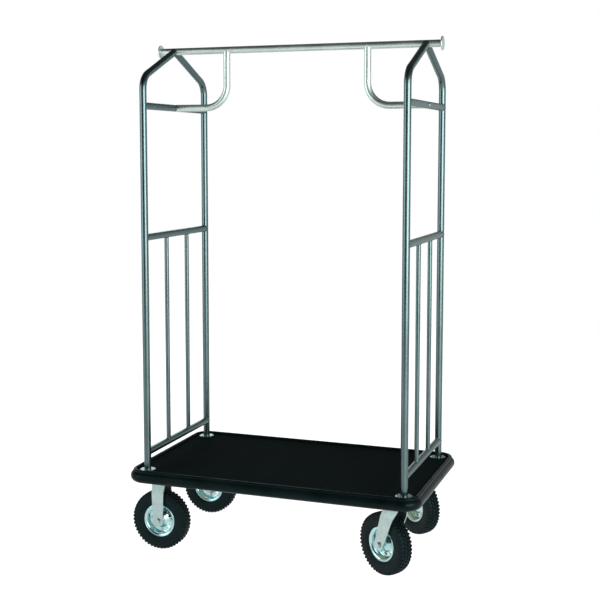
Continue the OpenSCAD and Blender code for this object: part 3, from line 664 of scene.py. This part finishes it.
# Four rows of knobs round the carcass. The far rows are the near ones turned over.
def treadTree():
    tree, entry = startTree("treadKnobs", [("Centre knob", "Object"), ("Shoulder knob", "Object"),
                                           ("Knobs per row", "Int"), ("Finish", "Material")])
    count = entry.outputs["Knobs per row"]
    step = combined(tree, "DIVIDE", 2 * math.pi, count)
    index = addNode(tree, "GeometryNodeInputIndex").outputs[0]
    join = tree.nodes.new("GeometryNodeJoinGeometry")
    tree.links.new(entry.outputs["Geometry"], join.inputs[0])
    for knob, flip, phase in (("Centre knob", 0, 0.0), ("Centre knob", math.pi, 0.5),
                              ("Shoulder knob", 0, 0.5), ("Shoulder knob", math.pi, 0.0)):
        points = addNode(tree, "GeometryNodePoints", Count=count)
        turn = combined(tree, "MULTIPLY", combined(tree, "ADD", index, phase), step)
        rotation = addNode(tree, "ShaderNodeCombineXYZ", X=flip, Z=turn)
        shape = addNode(tree, "GeometryNodeObjectInfo", i0=entry.outputs[knob])
        row = addNode(tree, "GeometryNodeInstanceOnPoints", Points=points.outputs[0],
                      Instance=shape.outputs["Geometry"], Rotation=rotation.outputs[0])
        tree.links.new(row.outputs[0], join.inputs[0])
    endTree(tree, entry, join.outputs[0], False)
    return tree


def makeTyres():
    knobs = {key: linkObject(key, knobMesh(key, tyre[key])) for key in ("centreKnob", "shoulderKnob")}
    carcass = latheMesh("carcass", tyreOutline(), tyre["steps"])
    tree = treadTree()
    for wheel in wheelNames:
        mesh = runTree(tree, carcass, {
            "Centre knob": knobs["centreKnob"], "Shoulder knob": knobs["shoulderKnob"],
            "Knobs per row": tyre["knobsPerRow"], "Finish": rubber})
        mesh.transform(wheelPlace(wheel))
        mesh.update()
        addPiece(wheel + "_tread", mesh, wheel + "_wheel", rubber, [wheel + "_tyre"])
    for knob in knobs.values():
        bpy.data.objects.remove(knob)
    print("tyres: four, of", len(mesh.polygons), "faces each")


makeTyres()


# rims

rim = {
    "steps": 128, "holes": 4, "holeRadius": 5.5 * mm, "boltHoleRadius": 3.25 * mm, "holeAt": 39 * mm,
    "drillDepth": 8 * mm, "drillSteps": 28,
    "sheet": 2.0, "lip": 1.5, "lipCentre": (59.0, 21.3), "bell": 9.0, "bellCentre": (58.0, 12.6),
}


# Half a rim in millimetres: the rolled lip, down the bell and the web to the bearing cup, then back up.
def rimOutline():
    points = arcPoints(rim["lipCentre"], rim["lip"], -60, 170, 10)
    points += arcPoints(rim["bellCentre"], rim["bell"], 94, 180, 12)
    points += [(48.7, 11.0), (48.0, 7.0)] + arcPoints((43.8, 6.2), 4.1, 0, -90, 7)
    points += [(42.5, 2.0), (33.0, 2.0)] + arcPoints((33.0, 6.0), 4.0, -90, -128, 5)
    points += [(20.6, 13.2)] + arcPoints((22.0, 16.6), 3.9, 210, 180, 4)
    points += [(18.05, 22.6), (18.9, 22.9), (18.9, 23.8), (18.2, 24.4), (16.05, 24.5), (16.05, 14.5)]
    points += [(11.5, 14.5), (11.5, 12.5), (16.6, 12.5), (27.6, 0.0), (50.0, 0.0)]
    points += arcPoints(rim["bellCentre"], rim["bell"] - rim["sheet"], 180, 90, 10)
    return [(radius * mm, height * mm) for radius, height in points]


# The half rim with its lightening holes and bolt holes cut through the web.
def rimShell():
    shell = linkObject("rimShell", latheMesh("rimShell", rimOutline(), rim["steps"]))
    work = bmesh.new()
    for i in range(2 * rim["holes"]):
        radius = rim["boltHoleRadius"] if i % 2 == 0 else rim["holeRadius"]
        turn = Matrix.Rotation(math.pi * i / rim["holes"], 4, "Z")
        place = turn @ Matrix.Translation((rim["holeAt"], 0, 1 * mm))
        bmesh.ops.create_cone(work, cap_ends=True, segments=rim["drillSteps"], radius1=radius,
                              radius2=radius, depth=rim["drillDepth"], matrix=place)
    drill = bpy.data.meshes.new("drill")
    work.to_mesh(drill)
    work.free()
    cutter = linkObject("drill", drill)
    cut = shell.modifiers.new("holes", "BOOLEAN")
    cut.operation, cut.solver, cut.object = "DIFFERENCE", "EXACT", cutter
    graph = bpy.context.evaluated_depsgraph_get()
    mesh = bpy.data.meshes.new_from_object(shell.evaluated_get(graph), depsgraph=graph)
    bpy.data.objects.remove(shell)
    bpy.data.objects.remove(cutter)
    closeMesh(mesh)
    return mesh


def makeRims():
    shell = rimShell()
    for wheel in wheelNames:
        for half, flip in (("outer", 0), ("inner", math.pi)):
            mesh = shell.copy()
            mesh.transform(wheelPlace(wheel) @ Matrix.Rotation(flip, 4, "X"))
            mesh.update()
            name = f"{wheel}_{half}_shell"
            addPiece(name, mesh, wheel + "_wheel", rimZinc, [f"{wheel}_rim_{half}"])
    print("rims: eight halves, of", len(shell.polygons), "faces each")


makeRims()


# fasteners

fasteners = {
    "steps": 24, "rimBoltPitch": 39 * mm, "holeAlong": 35 * mm, "holeAcross": 39 * mm,
    "boltHead": 6.4 * mm, "screwHead": 3.5 * mm,
    "cornerFrom": 0.95, "cornerSlope": 0.58, "threadRoot": 0.88,
}


def hexRadius(flat, turn):
    return flat / math.cos((turn + math.pi / 6) % (math.pi / 3) - math.pi / 6)


# A ring of a fastener, in millimetres. A hex ring next to an end slopes with its corners turned off.
def fastenerRing(kind, size, height, slope=0):
    steps = fasteners["steps"]
    points = []
    for turn in [2 * math.pi * i / steps for i in range(steps)]:
        radius = hexRadius(size, turn) if kind == "hex" else size
        level = height + slope * fasteners["cornerSlope"] * (radius - fasteners["cornerFrom"] * size)
        points.append((radius * math.cos(turn) * mm, radius * math.sin(turn) * mm, level * mm))
    return points


def hexBody(flat, low, high):
    face = fasteners["cornerFrom"] * flat
    return [("round", face, low), ("hex", flat, low, 1), ("hex", flat, high, -1), ("round", face, high)]


def threadRings(radius, low, high, pitch):
    count = max(1, round((high - low) / pitch))
    step = (high - low) / count
    rings = []
    for i in range(count):
        rings.append(("round", radius, low + i * step))
        rings.append(("round", radius * fasteners["threadRoot"], low + (i + 0.5) * step))
    return rings + [("round", radius, high)]


# Axle bolt through both legs: threaded tail, lock nut with its collar, shank, washer face and head.
axleRings = [("round", 4.7, -45)] + threadRings(5.8, -44.4, -43, 1.4)
axleRings += [("round", 6.9, -43), ("round", 7.8, -42.7), ("round", 7.9, -41.6)]
axleRings += hexBody(8.83, -41.4, -36)
axleRings += [("round", 8.6, -36), ("round", 8.6, -35), ("round", 6, -35), ("round", 6, 35)]
axleRings += [("round", 8.6, 35), ("round", 8.6, 35.5)] + hexBody(8.83, 35.5, 42)

# Carriage bolt with its lock nut, seated at 0 under the plate.
casterRings = [("round", 3.8, -9)] + threadRings(4.7, -8.5, -7, 1.25)
casterRings += [("round", 5.9, -7), ("round", 6.9, -6.7), ("round", 7.0, -5.5)] + hexBody(7.97, -5.3, 0)
casterRings += [("round", 4.75, 0), ("round", 4.75, 26), ("round", 11, 26), ("round", 10.6, 27.2)]
casterRings += [("round", 8.5, 29.7)]

# The upright's bolt, with its washer face under the plate and its end in the plug.
postRings = hexBody(7.97, -6.4, -0.5) + [("round", 7.6, -0.5), ("round", 7.6, 0), ("round", 4.75, 0)]
postRings += [("round", 4.75, 68), ("round", 4, 68.5)]

# Bolt through both rim halves, with its nut behind.
rimRings = [("round", 2.3, -8), ("round", 2.9, -7.5), ("round", 2.9, -7)] + hexBody(4.85, -7, -2)
rimRings += [("round", 3, -2), ("round", 3, 2)] + hexBody(4.85, 2, 6)

# Button head screw with a hex socket.
screwRings = [("round", 2.4, -45.4), ("round", 3, -44.8), ("round", 3, 0), ("round", 6, 0)]
screwRings += [("round", 6, 1.2), ("round", 5.7, 2.2), ("round", 5.0, 2.95), ("round", 4.0, 3.4)]
screwRings += [("round", 3.2, 3.5)]
screwRings += [("hex", 2.1, 3.5), ("hex", 2.0, 3.3), ("hex", 2.0, 1.5)]


def fastenerObject(name, rings):
    work = bmesh.new()
    loops = [[work.verts.new(point) for point in fastenerRing(*ring)] for ring in rings]
    steps = fasteners["steps"]
    for here, there in zip(loops, loops[1:]):
        for i in range(steps):
            work.faces.new((here[i], here[(i + 1) % steps], there[(i + 1) % steps], there[i]))
    work.faces.new(loops[0][::-1])
    work.faces.new(loops[-1])
    bmesh.ops.remove_doubles(work, verts=work.verts, dist=0.002 * mm)
    return linkObject(name, meshFrom(work, name, 28))


# Puts one fastener at every point, turned as the point says.
def fastenerTree():
    tree, entry = startTree("fastenerSet", [("Fastener", "Object"), ("Finish", "Material")])
    shape = addNode(tree, "GeometryNodeObjectInfo", i0=entry.outputs["Fastener"])
    turned = addNode(tree, "GeometryNodeInputNamedAttribute", {"data_type": "FLOAT_VECTOR"},
                     Name="turned")
    row = addNode(tree, "GeometryNodeInstanceOnPoints", Points=entry.outputs["Geometry"],
                  Instance=shape.outputs["Geometry"], Rotation=turned.outputs[0])
    endTree(tree, entry, row.outputs[0], False)
    return tree


def fastenerSet(name, tree, shape, places, body, finish, nodes):
    points = bpy.data.meshes.new("points")
    points.from_pydata([place.to_translation() for place in places], [], [])
    turned = points.attributes.new("turned", "FLOAT_VECTOR", "POINT")
    for spot, place in zip(turned.data, places):
        spot.vector = place.to_euler()
    mesh = runTree(tree, points, {"Fastener": shape, "Finish": finish})
    addPiece(name, mesh, body, finish, nodes)


def jointAt(name):
    return Vector(next(j for j in frame["joints"] if j["name"] == name)["pos_m"])


def makeFasteners():
    tree = fastenerTree()
    axle, caster, post = (fastenerObject(*pair) for pair in (
        ("axleBolt", axleRings), ("casterBolt", casterRings), ("postBolt", postRings)))
    rimBolt, screw = fastenerObject("rimBolt", rimRings), fastenerObject("braceScrew", screwRings)
    rigid = [wheelPlace(wheel) for wheel in wheelNames[:2]]
    fastenerSet("rigidAxleBolts", tree, axle, rigid, "cart", zinc,
                ["rigid_axles", "rigid_axle_nuts"])
    for wheel in wheelNames[2:]:
        name = wheel + "AxleBolt"
        fastenerSet(name, tree, axle, [wheelPlace(wheel)], wheel, zinc, [wheel + "_axle"])
    out = Matrix.Translation((fasteners["rimBoltPitch"], 0, 0))
    spots = [Matrix.Rotation(math.pi * i / 2, 4, "Z") @ out for i in range(4)]
    for wheel in wheelNames:
        fastenerSet(wheel + "RimBolts", tree, rimBolt, [wheelPlace(wheel) @ spot for spot in spots],
                    wheel + "_wheel", boltSteel, [wheel + "_rim_bolts"])
    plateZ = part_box("upright_bolts")[0].z + fasteners["boltHead"]
    centres = [jointAt(w + ("_roll" if w.startswith("rigid") else "_turn")) for w in wheelNames]
    inner, corner = [], []
    for centre in centres:
        for i in (-1, 1):
            for j in (-1, 1):
                x, y = centre.x + i * fasteners["holeAlong"], centre.y + j * fasteners["holeAcross"]
                group = corner if i * centre.x > 0 and j * centre.y > 0 else inner
                turn = Matrix.Rotation(0.4 * (i + 2 * j) + x * 9, 4, "Z")
                group.append(Matrix.Translation((x, y, plateZ)) @ turn)
    fastenerSet("casterBolts", tree, caster, inner, "cart", zinc,
                ["caster_bolts", "caster_nuts"])
    fastenerSet("postBolts", tree, post, corner, "cart", zinc, ["upright_bolts"])
    low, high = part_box("brace_screws")
    seat = high.x - fasteners["screwHead"]
    level = (low.z + high.z) / 2
    screws = [Matrix.Translation((side * seat, 0, level)) @ Matrix.Rotation(side * math.pi / 2, 4, "Y")
              for side in (-1, 1)]
    fastenerSet("braceScrews", tree, screw, screws, "cart", boltSteel, ["brace_screws"])
    for shape in (axle, caster, post, rimBolt, screw):
        bpy.data.objects.remove(shape)
    print("fasteners: axles, casters, uprights, rims and braces")


makeFasteners()


# welds

welds = {
    "bead": 1.25 * mm, "ripple": 0.16, "pitch": 2.1 * mm, "step": 0.7 * mm, "points": 72,
    "cutBack": 9 * mm, "thinnest": 0.8, "unevenScale": 170.0, "unevenness": 2.4, "ringSteps": 8,
    "topFrom": -21, "topSpan": 222, "uprightSlope": 23.13,
}


def weldTree():
    tree, entry = startTree("weldBeads", [("Bead", "Float"), ("Ripple", "Float"), ("Pitch", "Float"),
                                          ("Step", "Float"), ("Finish", "Material")])
    line = addNode(tree, "GeometryNodeResampleCurve", {"mode": "LENGTH"},
                   Curve=entry.outputs["Geometry"], Length=entry.outputs["Step"])
    along = addNode(tree, "GeometryNodeSplineParameter").outputs["Length"]
    ripples = combined(tree, "DIVIDE", along, entry.outputs["Pitch"])
    phase = combined(tree, "MULTIPLY", ripples, 2 * math.pi)
    place = addNode(tree, "GeometryNodeInputPosition")
    uneven = addNode(tree, "ShaderNodeTexNoise", Vector=place.outputs[0], Scale=welds["unevenScale"],
                     Detail=1.0)
    rough = combined(tree, "MULTIPLY", uneven.outputs[0], welds["unevenness"])
    wave = combined(tree, "ADD", combined(tree, "SINE", phase, 0), rough)
    share = combined(tree, "MULTIPLY", wave, entry.outputs["Ripple"])
    share = combined(tree, "ADD", share, welds["thinnest"])
    size = combined(tree, "MULTIPLY", share, entry.outputs["Bead"])
    ring = addNode(tree, "GeometryNodeCurvePrimitiveCircle", {"mode": "RADIUS"},
                   Resolution=welds["ringSteps"], Radius=1.0)
    bead = addNode(tree, "GeometryNodeCurveToMesh", i0=line.outputs[0], i1=ring.outputs[0], Scale=size)
    bead.inputs["Fill Caps"].default_value = True
    endTree(tree, entry, bead.outputs[0])
    return tree


# Where a tube meets another at right angles. Away is the unit vector that points off the other tube.
def saddle(centre, away, across, tubeRadius, otherRadius):
    side = away.cross(across)
    points = []
    for i in range(welds["points"]):
        turn = 2 * math.pi * i / welds["points"]
        u, v = tubeRadius * math.cos(turn), tubeRadius * math.sin(turn)
        depth = math.sqrt(max(0, otherRadius ** 2 - v ** 2))
        points.append(tuple(centre + u * across + v * side + depth * away))
    return points


# Where a sloping upright meets the bar: round its top, as far as its squared-off end lets it touch.
def topJoint(centre, side, slope, radius):
    along = Vector((0, side * math.cos(slope), -math.sin(slope)))
    upright = Vector((0, side * math.sin(slope), math.cos(slope)))
    points = []
    for i in range(welds["points"] + 1):
        turn = math.radians(welds["topFrom"] + welds["topSpan"] * i / welds["points"])
        ring = radius * (math.cos(turn) * Vector((1, 0, 0)) + math.sin(turn) * upright)
        reach = radius * abs(math.cos(turn))
        if (reach * along + ring).y * side < welds["cutBack"]:
            reach = (welds["cutBack"] - ring.y * side) / (along.y * side)
        points.append(tuple(centre + reach * along + ring))
    return points


def makeWelds():
    tree = weldTree()
    tube = (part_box("hang_bar")[1].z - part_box("hang_bar")[0].z) / 2
    rungLow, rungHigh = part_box("rungs")
    rungRadius = (rungHigh.x - rungLow.x) / 2 - middle("right_front_upright").x
    barZ = middle("hang_bar").z
    rungY = rungHigh.y - rungRadius
    slope = math.radians(welds["uprightSlope"])
    up, alongX, alongY = Vector((0, 0, 1)), Vector((1, 0, 0)), Vector((0, 1, 0))
    frameLines, topLines, braceLines = [], [], []
    for end in ends:
        for level in ("low", "mid", "top"):
            bar = middle(f"{end}_{level}_crossbar")
            for side in (-1, 1):
                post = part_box(f"{end}_{'front' if side < 0 else 'back'}_upright")
                y = side * (max(abs(post[0].y), abs(post[1].y)) - tube)
                frameLines.append(saddle(Vector((bar.x, y, bar.z)), -side * alongY, up, tube, tube))
        for side in (-1, 1):
            for level, away in (("low", up), ("mid", -up)):
                bar = middle(f"{end}_{level}_crossbar")
                foot = Vector((bar.x, side * rungY, bar.z))
                frameLines.append(saddle(foot, away, alongY, rungRadius, tube))
            topLines.append(topJoint(Vector((bar.x, 0, barZ)), side, slope, tube))
        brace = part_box(end + "_brace")
        x = brace[1].x - tube if end == "left" else brace[0].x + tube
        braceLines.append(saddle(Vector((x, 0, barZ)), -up, alongX, tube, tube))
    values = {key.capitalize(): welds[key] for key in ("bead", "ripple", "pitch", "step")}
    for name, lines, closed, finish, slotName in (
            ("frameWelds", frameLines, True, gunmetal["z"], "gunmetal_tube"),
            ("topWelds", topLines, False, gunmetal["z"], "gunmetal_tube"),
            ("braceWelds", braceLines, True, stainless["z"], "stainless_tube")):
        mesh = runTree(tree, curveOf(name, lines, closed, "MINIMUM"), values | {"Finish": finish})
        closeMesh(mesh)
        addPiece(name, mesh, "cart", finish)
        print("welds:", name, len(lines), "beads,", len(mesh.polygons), "faces")


makeWelds()


# floor, light and camera

floorLook = {
    "size": 10, "colour": (0.66, 0.66, 0.66), "far": (0.70, 0.70, 0.70), "roughness": 0.6, "shine": 0.1,
    "glow": 0.95, "mirrored": 0.52,
}
lightSetup = {
    "rightBox": {"place": (3.3, -2.2, 1.55), "size": (3.0, 2.3), "power": 140},
    "leftBox": {"place": (-3.3, -2.9, 1.6), "size": (2.6, 2.6), "power": 48},
    "backBox": {"place": (-2.2, 3.6, 2.0), "size": (2.4, 1.8), "power": 22},
}
skyLook = {
    "horizon": 0.66, "top": 0.07, "from": 0.10, "to": 0.55, "tint": (0.90, 1.0, 0.995),
    "darkFront": 0.13, "gapFrom": 0.80, "gapTo": 0.92,
}
cameraSetup = {
    "place": (1.3794, -3.8156, 1.4486), "turn": 19.656, "tilt": -5.442,
    "lens": 67.25, "sensor": 36, "shift": -0.07,
}


# The floor glows a little less in what the metal mirrors, so that the tubes keep their dark side.
def makeFloor():
    half = floorLook["size"] / 2
    corners = [(-half, -half, 0), (half, -half, 0), (half, half, 0), (-half, half, 0)]
    mesh = bpy.data.meshes.new("floor")
    mesh.from_pydata(corners, [], [(0, 1, 2, 3)])
    floor = linkObject("floor", mesh)
    material, tree, shader = startMaterial("paleFloor", floorLook["colour"], floorLook["roughness"])
    soft = grain(tree, 3, detail=3)
    tree.links.new(blended(tree, soft, floorLook["colour"], floorLook["far"]),
                   shader.inputs["Base Color"])
    shader.inputs["Specular IOR Level"].default_value = floorLook["shine"]
    shader.inputs["Emission Color"].default_value = (1, 1, 1, 1)
    mirrored = tree.nodes.new("ShaderNodeLightPath").outputs["Is Glossy Ray"]
    tree.links.new(mapped(tree, mirrored, 0, 1, floorLook["glow"], floorLook["mirrored"]),
                   shader.inputs["Emission Strength"])
    material.cycles.emission_sampling = "NONE"
    mesh.materials.append(material)


# The sky is bright at the horizon and dark above, with a darker gap in front between the two boxes.
def makeSky():
    world = bpy.data.worlds.new("studio")
    bpy.context.scene.world = world
    world.use_nodes = True
    world.cycles.sampling_method = "NONE"
    tree = world.node_tree
    lit = tree.nodes["Background"]
    direction = tree.nodes.new("ShaderNodeTexCoord").outputs["Generated"]
    parts = addNode(tree, "ShaderNodeSeparateXYZ", i0=direction)
    height = mapped(tree, parts.outputs["Z"], skyLook["from"], skyLook["to"], skyLook["horizon"],
                    skyLook["top"])
    level = addNode(tree, "ShaderNodeCombineXYZ", X=parts.outputs["X"], Y=parts.outputs["Y"])
    flat = addNode(tree, "ShaderNodeVectorMath", {"operation": "NORMALIZE"}, i0=level.outputs[0])
    facing = addNode(tree, "ShaderNodeVectorMath", {"operation": "DOT_PRODUCT"}, i0=flat.outputs[0],
                     i1=(0, -1, 0))
    gap = mapped(tree, facing.outputs["Value"], skyLook["gapFrom"], skyLook["gapTo"], 1,
                 skyLook["darkFront"])
    lit.inputs[0].default_value = (*skyLook["tint"], 1)
    tree.links.new(combined(tree, "MULTIPLY", height, gap), lit.inputs[1])
    plain = addNode(tree, "ShaderNodeBackground", Color=(1, 1, 1, 1), Strength=1.0)
    seen = tree.nodes.new("ShaderNodeLightPath").outputs["Is Camera Ray"]
    mix = addNode(tree, "ShaderNodeMixShader", i0=seen, i1=lit.outputs[0], i2=plain.outputs[0])
    tree.links.new(mix.outputs[0], tree.nodes["World Output"].inputs[0])


def makeLights():
    aim = (cadLow + cadHigh) / 2
    for name, setup in lightSetup.items():
        data = bpy.data.lights.new(name, "AREA")
        data.shape = "RECTANGLE"
        data.size, data.size_y = setup["size"]
        data.energy = setup["power"]
        data.color = skyLook["tint"]
        lamp = linkObject(name, data)
        lamp.location = setup["place"]
        lamp.rotation_euler = (aim - lamp.location).to_track_quat("-Z", "Y").to_euler()
        lamp.visible_camera = False
    print("light:", len(lightSetup), "soft boxes")


def makeCamera():
    data = bpy.data.cameras.new("camera")
    data.sensor_width = cameraSetup["sensor"]
    data.lens = cameraSetup["lens"]
    data.shift_y = cameraSetup["shift"]
    camera = linkObject("camera", data)
    camera.location = cameraSetup["place"]
    tilt, turn = math.radians(90 + cameraSetup["tilt"]), math.radians(cameraSetup["turn"])
    camera.rotation_euler = (tilt, 0, turn)
    bpy.context.scene.camera = camera


makeSky()
makeFloor()
makeLights()
makeCamera()
bpy.context.scene.view_settings.view_transform = "Standard"
